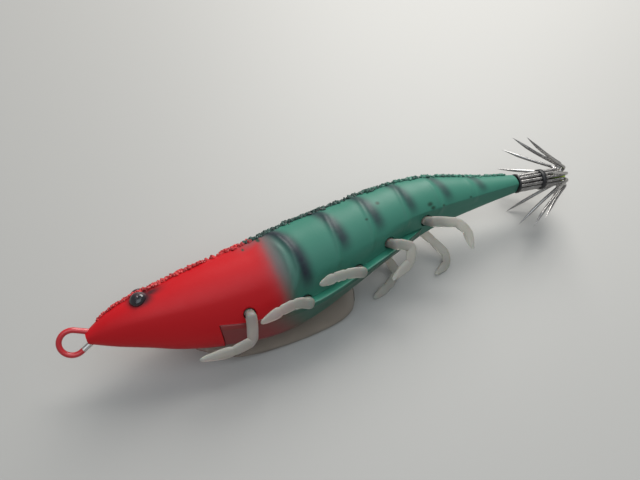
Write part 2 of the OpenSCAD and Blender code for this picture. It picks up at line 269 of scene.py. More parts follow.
EDGES = [45.6, 55.4, 64.2, 73.3, 82.4, 92.3]      # rear edges of the rings on the flank
EDGE_TOP = [-1.9, 0.3, 0.1, 0.3, -0.7, -0.5]      # how far each shifts at the back
EDGE_LOW = [-4.4, -3.0, -2.4, -1.6, -0.4, 0.0]    # and towards the belly


def edge_x(i, a):
    """Where ring edge i lies at girth angle a (degrees)."""
    return EDGES[i] + EDGE_TOP[i] * smooth(25, 80, a) + EDGE_LOW[i] * smooth(0, 1, (12 - np.asarray(a)) / 50)


def ledge_part(x):
    """1 where the cover's rim stands out as a sloping ledge, 0 where the cover is flush."""
    return smooth(38, 47, x) * (1 - smooth(71, 77, x))


def rim_angle(x, up=0.0):
    """Girth angle at which the height of the cover's rim, plus up, is reached."""
    wide, low, rim = curve(OUTLINE, x, 2), curve(OUTLINE, x, 3), curve(RIM, x, 1) + up
    return -np.degrees(np.arcsin(np.clip((wide - rim) / (wide - low), 0, 0.999)))


def skin(x, a, relief=True):
    """Body surface point (x, y, z), y >= 0, at girth angle a in degrees: 90 back, 0 widest, -90 belly.
    y = half width times cos(a) to a power, z = widest height plus sin(a) times the rise or drop; behind
    the cover the underside turns into two flat planes. Ring steps and the brow then push the point outwards."""
    x, a = np.broadcast_arrays(np.asarray(x, float), np.asarray(a, float))
    top, wide, low, w = (curve(OUTLINE, x, k) for k in (1, 2, 3, 4))
    s, c = np.sin(np.radians(a)), np.maximum(np.cos(np.radians(a)), 0)
    flat = smooth(66, 80, x)
    under = (1 - flat) * c**0.75 + flat * np.maximum(1 - abs(s), 0) ** 0.85
    y = w * np.where(a > 0, c**1.15, under)
    z = wide + np.where(a > 0, top - wide, wide - low) * s
    if relief:
        lift = np.zeros_like(y)
        side = smooth(-32, -4, a) * (1 - 0.6 * smooth(55, 85, a))
        for i in range(len(EDGES)):
            d = x - edge_x(i, a)
            gap = 11.0 if i == 0 else EDGES[i] - EDGES[i - 1]
            amount = (0.48, 0.36, 0.36, 0.38, 0.30, 0.18)[i]
            swell = smooth(-gap * 0.8, 0, d) * (d < 0)
            drop = (d >= 0) * np.exp(-(np.maximum(d, 0) / 0.7) ** 1.6)
            lift += side * amount * (swell + drop + 0.42 * np.exp(-((d + 0.45) / 0.5) ** 2))
        # the first ring has a second, smaller edge
        second = np.exp(-((x - edge_x(0, a) + 2.2) / 0.55) ** 2)
        lift += 0.15 * second * smooth(-12, 8, a) * (1 - smooth(40, 62, a))
        lift *= smooth(0, 0.3, c)
        head = smooth(4, 12, x) * (1 - smooth(24, 40, x))
        lift += head * (0.04 * np.exp(-(((a + 2) / 20) ** 2)) - 0.12 * np.exp(-(((a - 27) / 18.0) ** 2)))
        above = rim_angle(x, 0.9 * ledge_part(x)) + 30 - a
        tuck = ledge_part(x) * smooth(0, 1, above / 30) * 1.15
        y = y + lift * c - tuck
        z = z + lift * s * 0.8
    return np.stack([x, y, z], -1)


SOCKET_R = 1.35
COVER_FROM, COVER_TO, BODY_END = 26.0, 77.0, 105.0
# dark bars: station at the ridge and station at the widest place
BARS = [(41.6, 46.6), (53.0, 56.8), (62.8, 65.9), (72.0, 74.9), (82.2, 84.9), (93.2, 94.9)]
FADE_X = 41.39375                                 # where red turns to green on the flank
# chips in the paint: station, height and radius
CHIPS = [(67.5, 7.7, 0.5), (63.3, 5.5, 0.35), (82.8, 2.2, 0.4), (39.8, 8.1, 0.45), (79.4, 3.6, 0.7),
         (79.9, 2.6, 0.6), (36.0, 7.3, 0.3), (90.6, 1.6, 0.35)]


def paint(p, a, side):
    """Paint at points p, girth angle a: amounts of red, dark bar, grey blend, eye shadow and chip."""
    x, z = p[..., 0], p[..., 2]
    cut = FADE_X - 0.05 * np.maximum(z, 0)
    red = 1 - smooth(-1.9, 2.3, x - cut)
    blend = np.exp(-((x - cut - 0.6) / 2.3) ** 2) * (0.45 + 0.55 * smooth(-6, 3, z))
    blend = np.maximum(blend, 0.9 * np.exp(-((x - 38.5) / 3.2) ** 2) * smooth(52, 82, a))
    bar = np.zeros_like(x)
    for i, (x0, x1) in enumerate(BARS):
        f = 1 - smooth(8, 90, a)
        low = -30 if i == 0 else -12 + 2 * i
        half = 1.6 - 0.08 * i
        band = np.exp(-(abs(x - x0 - (x1 - x0) * f**0.5) / half) ** 2.4)
        bar = np.maximum(bar, band * smooth(low, low + 30, a) * (1 - 0.07 * i))
    eye = np.exp(-(((x - 12.7) / 2.7) ** 2 + ((z - 4.8) / 1.5) ** 2) ** 2)
    eye = np.maximum(eye, 0.9 * np.exp(-((x - 15.2) / 2.2) ** 2 - ((z - 5.2 - 0.1 * (x - 15)) / 0.6) ** 2))
    chip = np.zeros_like(x)
    for k, (cx, cz, r) in enumerate(CHIPS):
        if (side < 0) or k % 2:
            chip = np.maximum(chip, np.exp(-(((x - cx) / r) ** 2 + ((z - cz) / (0.7 * r)) ** 2) ** 2))
    return {"red": red, "bar": bar, "blend": blend, "eye": eye, "chip": chip}


def shell(name, side):
    """Half of the body: girth lines from the back to the rim, and on to the belly where no cover sits."""
    xs = np.unique(np.concatenate([BODY_END * np.linspace(0, 1, 560), [COVER_FROM, COVER_TO],
                                   0.6 * np.linspace(0, 1, 8)]))
    up, down = 110, 46
    ra = rim_angle(xs, 0.9 * ledge_part(xs))
    A = np.concatenate([90 + (ra[:, None] - 90) * np.linspace(0, 1, up),
                        ra[:, None] + (-90 - ra[:, None]) * np.linspace(0, 1, down)[1:]], 1)
    X = np.broadcast_to(xs[:, None], A.shape)
    P = skin(X, A)
    covered = (xs[:-1] >= COVER_FROM) & (xs[1:] <= COVER_TO)
    keep = np.ones((len(xs) - 1, A.shape[1] - 1), bool)
    keep[covered, up - 1:] = False
    for rx, rz in ROOTS:
        d = np.hypot(P[..., 0] - rx, P[..., 2] - rz)
        hole = (d < SOCKET_R + 0.25) & (A < 60)
        pull = hole & (d > SOCKET_R * 0.8)
        f = np.where(pull, SOCKET_R / np.maximum(d, 1e-6), 1)
        P[..., 0] = np.where(pull, rx + (P[..., 0] - rx) * f, P[..., 0])
        P[..., 2] = np.where(pull, rz + (P[..., 2] - rz) * f, P[..., 2])
        inner = (d <= SOCKET_R * 0.8) & (A < 60)
        keep &= ~(inner[:-1, :-1] | inner[1:, :-1] | inner[:-1, 1:] | inner[1:, 1:])
    nose = P[0].mean(0) * [1, 0, 1]
    P[:, :, 1] *= side
    attrs = paint(P, A, side)
    n, m = A.shape
    # the rim turns inwards so that the shell shows its thickness; the lip, the front wall and the nose cap are
    # darkened as painted shade
    lip = P[:, up - 1].copy()
    lip[:, 1] -= side * 1.1
    lip[:, 2] += 0.15
    wall = P[xs == COVER_FROM][0][up - 1:].copy()
    wall_in = wall.copy()
    wall_in[:, 0] -= 0.2
    wall_in[:, 1] *= 0.86
    verts = np.concatenate([P.reshape(-1, 3), lip, wall_in, [nose]])
    quads = grid_faces(n, m, keep=keep, flip=side > 0)
    i = np.where(covered)[0]
    rim_q = np.stack([i * m + up - 1, n * m + i, n * m + i + 1, (i + 1) * m + up - 1], -1)
    k0 = int(np.where(xs == COVER_FROM)[0][0])
    j = np.arange(down - 1)
    wall_q = np.stack([k0 * m + up - 1 + j, k0 * m + up + j, n * m + n + j + 1, n * m + n + j], -1)
    more = np.concatenate([rim_q, wall_q])
    j = np.arange(m - 1)
    cap = np.stack([np.full(m - 1, len(verts) - 1), j + 1, j], -1)
    if side < 0:
        cap = cap[:, ::-1]
    pad = len(verts) - n * m
    full = {k: np.concatenate([v.ravel(), np.full(pad, v.ravel()[0] if k == "red" else 0.0)])
            for k, v in attrs.items()}
    full["red"][n * m:n * m + n] = attrs["red"][:, up - 1]
    # painted shade mask: 1 on the lip, the front wall and the nose cap, 0 on the outer skin
    full["closing_faces_painted_shade"] = np.concatenate([np.zeros(n * m), np.ones(pad)])
    return mesh(name, row(verts), np.concatenate([quads, more if side > 0 else more[:, ::-1]]), cap, attrs=full)


RED, GREEN, NAVY = (0.42, 0.002, 0.006), (0.032, 0.152, 0.108), (0.010, 0.016, 0.024)
paint_mat, g = material("shell_paint", Roughness=0.45, IOR=1.4, Specular_IOR_Level=0.4)
speck = g.noise(2600.0, 1.0)
edge = (g.attr("red") + 0.3 * (speck - 0.5) * (1 - g.attr("red")) * g.attr("red") * 4).clamped()
col = edge.mix(GREEN, RED)
col = (g.attr("blend") * (0.5 + 0.5 * speck)).mix(col, (0.085, 0.095, 0.10))
col = (g.attr("bar") * (0.82 + 0.3 * g.noise(900.0, 3.0))).clamped().mix(col, NAVY)
col = g.attr("chip").mix(col, (0.012, 0.045, 0.03))
col = (g.attr("eye") * (0.8 + 0.4 * speck)).mix(col, (0.010, 0.008, 0.011))
# painted shade: the lip, the front wall and the nose cap are mixed most of the way to near black
col = (g.attr("closing_faces_painted_shade") * 0.85).mix(col, (0.01, 0.012, 0.01))
g.feed("Base Color", col)
g.feed("Roughness", 0.40 + 0.14 * g.noise(400.0))
g.bump(g.noise(1500.0, 2.0), 0.25, 0.00006)
for side, word in ((-1, "left"), (1, "right")):
    ob = shell(f"body_{word}", side)
    ob.data.materials.append(paint_mat)
    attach(ob, "jig_body")
    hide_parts(f"shell_{word}")
    print(ob.name, len(ob.data.polygons), "faces")

# %% [markdown]
# ## Grit on the back
# Coarse grains glued along the ridge give a squid something to hold. Each grain is a small lumpy solid
# of 20 faces, pressed to a random size and half sunk into the skin.
# %% Grit
PHI = (1 + 5**0.5) / 2
ICO_V = np.array([(-1, PHI, 0), (1, PHI, 0), (-1, -PHI, 0), (1, -PHI, 0), (0, -1, PHI), (0, 1, PHI),
                  (0, -1, -PHI), (0, 1, -PHI), (PHI, 0, -1), (PHI, 0, 1), (-PHI, 0, -1), (-PHI, 0, 1)]) / math.hypot(1, PHI)
ICO_F = np.array([(0, 11, 5), (0, 5, 1), (0, 1, 7), (0, 7, 10), (0, 10, 11), (1, 5, 9), (5, 11, 4), (11, 10, 2),
                  (10, 7, 6), (7, 1, 8), (3, 9, 4), (3, 4, 2), (3, 2, 6), (3, 6, 8), (3, 8, 9), (4, 9, 5),
                  (2, 4, 11), (6, 2, 10), (8, 6, 7), (9, 8, 1)])


def grains(name, x0, x1, clumps, mat, node):
    """Clumps of 3 to 12 grains and single grains between them, along the ridge between two stations."""
    per = rng.integers(3, 13, clumps)
    cx, ca = rng.uniform(x0, x1, clumps), rng.normal(0, 4.0, clumps)
    single = 3 * clumps
    x = np.concatenate([np.repeat(cx, per) + rng.normal(0, 0.42, per.sum()), rng.uniform(x0, x1, single)])
    a = np.concatenate([np.repeat(ca, per) + rng.normal(0, 2.6, per.sum()), rng.normal(0, 5.0, single)])
    x, a = x.clip(x0, x1), a.clip(-11, 11)
    count = len(x)
    p = skin(x, 90 - abs(a), relief=False)
    p[:, 1] *= np.sign(a)
    size = rng.uniform(0.18, 0.5, count) * (0.8 + 0.25 * smooth(4, 20, x)) * (1 - 0.3 * smooth(92, 104, x))
    heap = np.concatenate([rng.uniform(0, 0.28, per.sum()), np.zeros(single)])
    p[:, 2] += heap * (1 - 0.4 * smooth(90, 104, x)) * smooth(2, 8, x)
    shape = size[:, None, None] * rng.uniform(0.75, 1.25, (count, 1, 3))
    shape = shape * rng.uniform(0.8, 1.15, (count, 12, 1))
    spin = rng.uniform(0, 2 * np.pi, count)
    c, s = np.cos(spin)[:, None], np.sin(spin)[:, None]
    local = ICO_V[None] * shape
    lx, ly, lz = local[..., 0], local[..., 1], local[..., 2]
    local = np.stack([lx * c - ly * s, lx * s + ly * c, lz], -1)
    v = (p[:, None] + local + np.array([0, 0, 0.02])).reshape(-1, 3)
    f = (ICO_F[None] + 12 * np.arange(count)[:, None, None]).reshape(-1, 3)
    tint = np.repeat(rng.uniform(0, 1, count), 12)
    ob = mesh(name, row(v), [], f, attrs={"tint": tint, "along": v[:, 0]}, material=mat, shade=False)
    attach(ob, "jig_body")
    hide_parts(node)
    print(name, count, "grains")
    return ob


red_grit, g = material("grit_red", Roughness=0.55)
g.feed("Base Color", g.attr("tint").mix((0.26, 0.006, 0.010), (0.55, 0.03, 0.03)))
green_grit, g = material("grit_green", Roughness=0.5)
dark = g.attr("tint").mix((0.006, 0.012, 0.012), (0.02, 0.07, 0.055))
lite = g.attr("tint").mix((0.01, 0.05, 0.04), (0.04, 0.19, 0.13))
g.feed("Base Color", g.attr("along").step(62.0, 78.0).mix(dark, lite))
grains("grit_head", 3.0, 38.5, 70, red_grit, "back_grit_head")
grains("grit_body", 37.0, 103.0, 120, green_grit, "back_grit_body")

# %% [markdown]
# ## Belly cover, sinker and keel
# A separate dark moulding closes the belly over the sinker. Its rim stands out as a thin ledge that
# catches the light, and the ledge also carries a painted highlight: a lighter green, greyish white at its
# front.
# %% Belly cover
COVER = [[26, -5.5, -11.7, 3.4], [32, -7.0, -13.1, 3.6], [40, -7.6, -13.7, 3.4], [48, -7.6, -12.5, 3.0],
         [57, -5.9, -9.9, 2.4], [66, -3.9, -7.1, 1.7], [77, -1.7, -4.2, 0.8]]


def cover_rings(x, n=44):
    """Rings of the cover: a deck, a ledge that slopes out to the rim, sides that lean in to a round bottom."""
    edge = skin(x, rim_angle(x), relief=False)[:, 1]
    m = ledge_part(x)
    stand = 0.05 + 0.62 * smooth(32, 46, x) - 0.55 * smooth(72, 76.8, x)
    w, zr, zb, wb = edge + stand, curve(COVER, x, 1) - 0.05, curve(COVER, x, 2), curve(COVER, x, 3)
    h = zr - zb
    t = np.linspace(0, 1, n)
    key = np.array([0, 0.07, 0.1, 0.13, 0.2, 0.5, 0.8, 0.93, 1.0])
    yy = np.stack([w - 0.3 - 1.5 * m, w - 0.1 - 0.2 * m, w, w + 0.02, w - 0.12, wb + (w - wb) * 0.62,
                   wb + (w - wb) * 0.12, wb * 0.62, wb * 0.0], -1)
    zz = np.stack([zr + 0.92 * m, zr + 0.16 * m, zr - 0.06, zr - 0.2, zr - 0.18 * h, zr - 0.45 * h,
                   zr - 0.86 * h, zb + 0.03 * h, zb], -1)
    y, z = (np.array([np.interp(t, key, line) for line in table]) for table in (yy, zz))
    for _ in range(3):
        y[:, 10:-1] = (y[:, 9:-2] + 2 * y[:, 10:-1] + y[:, 11:]) / 4
        z[:, 10:-1] = (z[:, 9:-2] + 2 * z[:, 10:-1] + z[:, 11:]) / 4
    half = np.stack([np.broadcast_to(x[:, None], y.shape), y, z], -1)
    other = half[:, ::-1][:, 1:] * np.array([1, -1, 1])
    deck = np.linspace(-1, 1, 10)[1:-1]
    top = np.stack([np.broadcast_to(x[:, None], (len(x), 8)), (w - 0.3 - 1.5 * m)[:, None] * deck,
                    np.broadcast_to((zr + 0.92 * m)[:, None], (len(x), 8))], -1)
    return np.concatenate([half, other, top], 1)


xs = np.linspace(COVER_FROM + 0.12, COVER_TO - 0.2, 220)
rings = cover_rings(xs)
red = 1 - smooth(33, 45, rings[..., 0] + 0.6 * rings[..., 2] + 5)
cover_mat, g = material("cover_paint", Roughness=0.42, Coat_Weight=0.1, Coat_Roughness=0.35)
ledge = g.attr("ledge")
col = g.attr("red").mix((0.010, 0.075, 0.048), (0.17, 0.014, 0.014))
# painted highlight on the ledge: a lit green, turning greyish white towards the front
painted_ledge_highlight = g.attr("front").mix((0.030, 0.20, 0.135), (0.16, 0.18, 0.18))
g.feed("Base Color", ledge.mix(col, painted_ledge_highlight))
g.bump(g.noise(1500.0, 2.0), 0.2, 0.00006)
# mask of the painted highlight on the ledge, between stations 37 and 77
ledge_highlight_mask = np.zeros(rings.shape[:2])
ledge_highlight_mask[:, :5] = ledge_highlight_mask[:, 82:87] = 1       # the first five points of each side are the ledge
ledge_highlight_mask *= smooth(37, 42, rings[..., 0]) * (1 - smooth(75, 77, rings[..., 0]))
# where the ledge's painted highlight turns greyish white
front = 1 - smooth(42, 46, rings[..., 0])
cover = closed("belly_cover_visual", rings, attrs={"red": red, "ledge": ledge_highlight_mask, "front": front},
               material=cover_mat)
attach(cover, "jig_body")
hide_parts("belly_cover")
print(cover.name, len(cover.data.polygons), "faces")

# %% [markdown]
# The keel is a clear smoky plate, let into the cover's underside.
# %% Keel fin
# lower outline of the keel, front to back: station and height
KEEL = np.array([[20, -10.7], [24, -13.6], [28, -15.9], [33.3, -16.9], [38.8, -17.3], [44.4, -17.45],
                 [49.5, -17.2], [53.6, -16.6], [56.3, -15.3], [57.4, -13.4], [57.8, -11.6], [57.9, -9.9]])
KEEL_HALF = 0.6                                   # half its thickness
q = np.linspace(0, len(KEEL) - 1, 90)
low = np.stack([np.interp(q, np.arange(len(KEEL)), KEEL[:, k]) for k in (0, 1)], -1)
for _ in range(3):
    low[1:-1] = (low[:-2] + 2 * low[1:-1] + low[2:]) / 4
belly = np.where(low[:, 0] < COVER_FROM, curve(OUTLINE, low[:, 0], 3), curve(COVER, low[:, 0], 2))
top_z = belly + 0.25
span = np.linspace(0, 1, 12)
zz = top_z[:, None] + (low[:, 1:] - top_z[:, None]) * span
xx = np.broadcast_to(low[:, :1], zz.shape)
rounding = np.sqrt(np.clip(1 - np.clip((span - 0.86) / 0.14, 0, 1) ** 2 * 0.9, 0.05, 1))
half_t = KEEL_HALF * rounding[None] * np.ones_like(zz)
ends = np.sqrt(np.clip(np.minimum((low[:, 0] - 20) / 0.6, 1), 0.06, 1))[:, None]
near = np.stack([xx, -half_t * ends, zz], -1)
far = np.stack([xx, half_t * ends, zz], -1)[:, ::-1]
keel_mat, g = material("clear_keel", (0.74, 0.67, 0.60), Roughness=0.12, IOR=1.2, Transmission_Weight=0.93)
g.bump(g.noise(500.0), 0.15, 0.0001)
keel = closed("keel_visual", np.concatenate([near, far], 1), material=keel_mat)
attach(keel, "jig_body")
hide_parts("keel_fin")
print(keel.name, len(keel.data.polygons), "faces")

# %% [markdown]
# ## Eyes and line eye
# Each eye is a glossy black dome set low in the head. A slightly lumpy ellipsoid sunk into the shell
# gives the dome and its uneven reflection; the airbrushed shadow round it is part of the shell's paint.
# %% Eyes
OUT = np.array([0, 0.6, 0.8])                     # the way an eye looks, seen from its own side
EYE_HALF = (1.45, 1.95, 1.75)                     # half its depth, length and height
eye_mat, g = material("eye_black", Roughness=0.2, Coat_Weight=0.35, Coat_Roughness=0.15)
g.feed("Base Color", g.noise(420.0, 3.0).step(0.45, 0.75).mix((0.006, 0.005, 0.008), (0.06, 0.012, 0.02)))
g.bump(g.noise(900.0, 2.0), 0.5, 0.00015)
for word, side in (("left", -1), ("right", 1)):
    lo, hi = (np.array(v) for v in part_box(f"eye_{word}"))
    centre = (((lo + hi) / 2 - ORIGIN) * 1000) @ AXES.T + [0.45, 0, 0.55]
    u, v = np.meshgrid(np.linspace(0.02, np.pi - 0.02, 40),
                       np.linspace(0, 2 * np.pi, 48, endpoint=False), indexing="ij")
    out = OUT * [1, side, 1]
    along = np.array([1.0, 0, 0])
    lump = 1 + 0.035 * np.sin(3 * v + 1) * np.sin(u) + 0.03 * np.sin(5 * u + 2 * v)
    depth, length, height = EYE_HALF
    ball = (centre + (depth * np.cos(u) * lump)[..., None] * out
            + (length * np.sin(u) * np.cos(v) * lump)[..., None] * along
            + (height * np.sin(u) * np.sin(v) * lump)[..., None] * np.cross(out, along))
    eye = closed(f"eye_ball_{word}", ball, material=eye_mat)
    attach(eye, "jig_body")
    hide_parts(f"eye_{word}")
print("two eyes")

# %% [markdown]
# One bent wire makes the ring, and both its ends run into the nose. It was painted with the head, and
# the paint has worn off near the lower end. A tube swept along the wire's middle line follows both
# bends without a seam.
# %% Line eye
EYE_C, EYE_R, WIRE, MOUTH = np.array([-2.9, 0, 0.2]), 2.65, 0.6, 61
t = np.radians(np.linspace(MOUTH, 360 - MOUTH, 120))
loop = EYE_C + EYE_R * np.stack([np.cos(t), 0 * t, np.sin(t)], -1)
NOSE_X = 1.5                                      # where the two wire ends meet the nose


def wire_leg(s):
    """Straight run from the ring to the nose; s is 1 for the upper one, -1 for the lower."""
    start = EYE_C[2] + s * EYE_R * math.sin(math.radians(MOUTH))
    return np.stack([np.linspace(loop[0][0], NOSE_X, 20)[1:], np.zeros(19),
                     np.linspace(start, 0.1 + 0.8 * s, 20)[1:]], -1)


def wire_end(s):
    """The part of the wire inside the head."""
    return np.stack([np.linspace(NOSE_X, 6, 12)[1:], np.zeros(11), np.full(11, 0.1 + 0.8 * s)], -1)


wire = np.concatenate([wire_end(1)[::-1], wire_leg(1)[::-1], loop, wire_leg(-1), wire_end(-1)])
for _ in range(4):
    wire[1:-1] = (wire[:-2] + 2 * wire[1:-1] + wire[2:]) / 4
rings = tube(wire, np.full(len(wire), WIRE), np.full(len(wire), WIRE), (0, 1, 0), 24)
bare = smooth(0, 1, 1.5 - np.hypot(rings[..., 0] + 0.5, rings[..., 2] + 1.6))
wire_mat, g = material("red_wire", Roughness=0.3, Coat_Weight=0.2)
worn = (g.attr("bare") * 1.5 + 0.5 * g.noise(900.0) - 0.5).step(0.3, 0.5)
g.feed("Base Color", worn.mix((0.42, 0.014, 0.02), (0.6, 0.58, 0.56)))
g.feed("Metallic", worn)
ring_ob = closed("line_eye_wire", rings, attrs={"bare": bare}, material=wire_mat)
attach(ring_ob, "jig_body")
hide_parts("line_eye")
print(ring_ob.name, "wire", 2 * WIRE, "mm thick")

# %% [markdown]
# ## Soft legs
# Each leg is moulded in milky silicone: a round stub, then three flat segments with a waist at each
# knee. One sweep along the leg's path changes from the round stub to the flat blade, so each leg is a
# single closed surface that turns about its stub.
# %% Legs
LEFT = [
    [[32.3, 9.2, -7.2], [31.3, 9.6, -10.3], [27, 9.6, -10.8], [19.9, 9.3, -10.1]],
    [[43.6, 9.8, -6.2], [41.8, 10.2, -5.8], [38.7, 10.6, -6.0], [33.9, 10.6, -7.0]],
    [[57, 9.4, -4.3], [54.7, 9.6, -3.8], [52, 9.6, -3.6], [48.4, 9.5, -4.0]],
    [[69.2, 8.8, -2.2], [71.2, 9.0, -3.4], [69.8, 9.0, -6.6], [64.7, 8.6, -9.1]],
    [[80, 7.7, -0.6], [83.6, 8.0, -2.0], [85.6, 8.0, -4.4], [86.2, 7.6, -9.4]]]
RIGHT = [
    [[32.3, 9.2, -4.2], [28.9, 9.4, -2.4], [23.4, 9.2, -2.6], [18.4, 8.9, -3.6]],
    [[44.4, 9.3, -6.2], [41.6, 9.8, -4.9], [38.2, 10.3, -4.4], [34.6, 10.4, -4.2]],
    [[57.2, 9.3, -4.2], [54.2, 9.45, -3.2], [51.6, 9.5, -2.8], [48.4, 9.45, -2.8]],
    [[68.8, 8.4, -4.4], [70.6, 6.2, -9.0], [70.8, 3.8, -12.0], [67, 2.2, -13.8], [62.6, 1.4, -15.0]],
    [[79.8, 7.4, -2.8], [82.8, 5.6, -8.0], [84.6, 3.6, -11.8], [83.4, 2.2, -13.8], [79.4, 1.3, -15.0]]]
STUB_R, BLADE_W, BLADE_T = 1.05, 1.24, 0.5       # stub radius, half a blade's width and half its thickness
legs_mat, g = material("silicone", Roughness=0.42, IOR=1.38, Subsurface_Weight=0.2, Subsurface_Scale=0.0012,
                       Transmission_Weight=0.72)
g.feed("Base Color", (g.attr("tip") * 0.6 + 0.5 * g.noise(260.0)).mix((0.50, 0.46, 0.42), (0.70, 0.70, 0.64)))
g.bump(g.noise(700.0, 3.0), 0.3, 0.00012)


def leg_surface(points, side, root):
    """A leg: its stub runs inwards along Y, then flat blades follow its points, with a waist at each knee;
    the last blade is leaf-shaped. The ring at each path point has half sizes w across and h through."""
    y0 = points[0][1]
    stub = [[root[0], y, root[1]] for y in (4.2, y0 - 1.0, y0 - 0.1)]
    pts = np.array([*stub, *points], float)
    d = np.r_[0, np.cumsum(np.linalg.norm(np.diff(pts, axis=0), axis=1))]
    s = np.linspace(0, d[-1], 130)
    p = np.stack([np.interp(s, d, pts[:, k]) for k in range(3)], -1)
    for _ in range(14):
        p[1:-1] = (p[:-2] + 2 * p[1:-1] + p[2:]) / 4
    q = (s - d[2]) / (d[-1] - d[2])
    knees = [(d[-3] - d[2]) / (d[-1] - d[2]), (d[-2] - d[2]) / (d[-1] - d[2])]
    if len(points) == 5:
        knees = [(d[-4] - d[2]) / (d[-1] - d[2])] + knees
    waist = sum(np.exp(-((q - k) / 0.028) ** 2) for k in knees)
    t = ((q - knees[-1]) / (1 - knees[-1])).clip(0, 1)
    leaf = (1 + 0.08 * np.sin(np.pi * (t / 0.6).clip(0, 1))) * np.sqrt(np.clip(1 - t**2.3, 0.0004, 1))
    limb = smooth(-0.1, 0.06, q)
    w = (STUB_R + limb * (BLADE_W - STUB_R - 0.2 * q.clip(0, 1))) * (1 - 0.15 * waist * limb) * leaf
    h = (STUB_R + limb * (BLADE_T - STUB_R)) * (1 - 0.1 * waist * limb) * leaf**0.6
    rings = tube(p, w, h, (0, 1, 0.0001), 28, power=0.85)
    rings[..., 1] *= side
    return rings, np.broadcast_to(q.clip(0, 1)[:, None], rings.shape[:2])


for word, side, paths in (("left", -1, LEFT), ("right", 1, RIGHT)):
    for i, points in enumerate(paths):
        rings, along = leg_surface(points, side, ROOTS[i])
        leg_ob = closed(f"soft_leg_{word}_{i + 1}", rings, attrs={"tip": along}, material=legs_mat)
        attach(leg_ob, f"leg_{word}_{i + 1}")
        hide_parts(f"leg_{word}_{i + 1}")
print("ten legs")

# %% [markdown]
# ## Needle crown
# The needles are cut from one wire size, bundled round a shaft, bound, and bent outwards and forwards
# at the end. All twelve are one mesh of swept tubes. The tubes stay open: one end hides inside the
# collar and the point is only 0.05 mm across.
# %% Needles
TAIL = np.array([105.0, 0, 0])
lean = math.radians(8.8)
T_AX = np.array([math.cos(lean), 0, -math.sin(lean)])
T_UP = np.array([math.sin(lean), 0, math.cos(lean)])
SHANK_R, NEEDLE, BEND = 1.85, 0.4, 0.9            # radius of the ring of shanks, of a needle and of its bend
SHANK_END, ARM, SPREAD = 12.35, 13.0, 38.0        # where the bend starts, arm length, arm angle to the shaft
COUNT, PHASE = 12, 14.0                           # needles, and the first one's angle


def on_tail(r, s, phi):
    """Radius, distance along the shaft and angle in degrees from the jig's left -> jig coordinates."""
    phi = np.radians(phi)
    r, s = np.asarray(r, float)[..., None], np.asarray(s, float)[..., None]
    out = np.cos(phi)[..., None] * np.array([0, -1.0, 0]) + np.sin(phi)[..., None] * T_UP
    return TAIL + s * T_AX + r * out


dark_metal, g = material("needle_steel", Metallic=1.0)
g.feed("Base Color", g.noise(700.0, 3.0).mix((0.16, 0.15, 0.155), (0.55, 0.54, 0.52)))
g.feed("Roughness", 0.16 + 0.2 * g.noise(300.0))
turn = np.radians(np.linspace(0, 180 - SPREAD, 26))[1:]
r = np.concatenate([np.full(24, SHANK_R), SHANK_R + BEND * (1 - np.cos(turn))])
s = np.concatenate([np.linspace(0.9, SHANK_END, 24), SHANK_END + BEND * np.sin(turn)])
k = np.linspace(0, 1, 60)[1:]
dirn = np.array([math.sin(math.radians(180 - SPREAD)), math.cos(math.radians(180 - SPREAD))])
bow = 0.45 * np.sin(np.pi * k)
r = np.concatenate([r, r[-1] + ARM * k * dirn[0] + 0.6 * bow * dirn[1]])
s = np.concatenate([s, s[-1] + ARM * k * dirn[1] - 0.6 * bow * dirn[0]])
thick = NEEDLE * np.concatenate([np.ones(24 + 25), np.clip((1 - k) / 0.34, 0.03, 1) ** 0.8])
verts, quads, base = [], [], 0
for i in range(COUNT):
    phi = PHASE + 360 * i / COUNT
    path = on_tail(r, s, np.full(len(r), phi))
    side_v = np.cos(np.radians(phi + 90)) * np.array([0, -1.0, 0]) + np.sin(np.radians(phi + 90)) * T_UP
    rings = tube(path, thick, thick, side_v, 12)
    verts.append(rings.reshape(-1, 3))
    quads.append(grid_faces(len(path), 12, wrap_v=True) + base)
    base += len(path) * 12
needles = mesh("needle_crown", row(np.concatenate(verts)), np.concatenate(quads), material=dark_metal)
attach(needles, "jig_body")
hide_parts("needles")
print("needles", COUNT)


# %% [markdown]
# The collar, the binding, the pin and the lime bead are all turned about the tail's shaft, so each is a
# short profile of radius and distance, spun round it. Collar and binding are filled in: the shanks hide
# their bores.
# %% Collar, binding, pin and bead
def turned(name, profile, mat, node, steps=48):
    """A turned piece on the tail's shaft from (radius, distance) pairs, closed at both ends."""
    pr = np.asarray(profile, float)
    phi = np.linspace(0, 360, steps, endpoint=False)
    rings = on_tail(np.repeat(pr[:, :1], steps, 1), np.repeat(pr[:, 1:], steps, 1),
                    np.broadcast_to(phi, (len(pr), steps)))
    ob = closed(name, rings, material=mat)
    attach(ob, "jig_body")
    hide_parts(node)
    print(name, len(pr), "profile points")


black_mat, g = material("black_trim", (0.012, 0.012, 0.014), Roughness=0.45)
steel_mat, g = material("shaft_steel", (0.3, 0.29, 0.28), Metallic=1.0, Roughness=0.4)
lime_mat, g = material("lime_bead", (0.30, 0.42, 0.02), Roughness=0.35, Subsurface_Weight=0.2,
                       Subsurface_Scale=0.001)
turned("tail_end_collar", [(1.2, 0.35), (2.25, 0.35), (2.38, 0.45), (2.38, 0.78), (2.25, 0.88), (1.2, 0.88)],
       black_mat, "tail_collar")
turned("shank_binding", [(1.3, 6.9), (2.4, 6.9), (2.53, 7.05), (2.53, 7.9), (2.4, 8.05), (1.3, 8.05)],
       black_mat, "binding_ring")
turned("tail_pin", [(0.9, -9.5), (1.15, -9.3), (1.15, 10.2), (1.0, 10.38)],
       steel_mat, "tail_shaft")
turned("lime_end_bead", [(1.2, 10.45), (1.4, 10.6), (1.4, 13.3), (1.34, 13.8), (1.12, 14.25), (0.8, 14.55),
                         (0.42, 14.72), (0.08, 14.76)], lime_mat, "crown_bead")

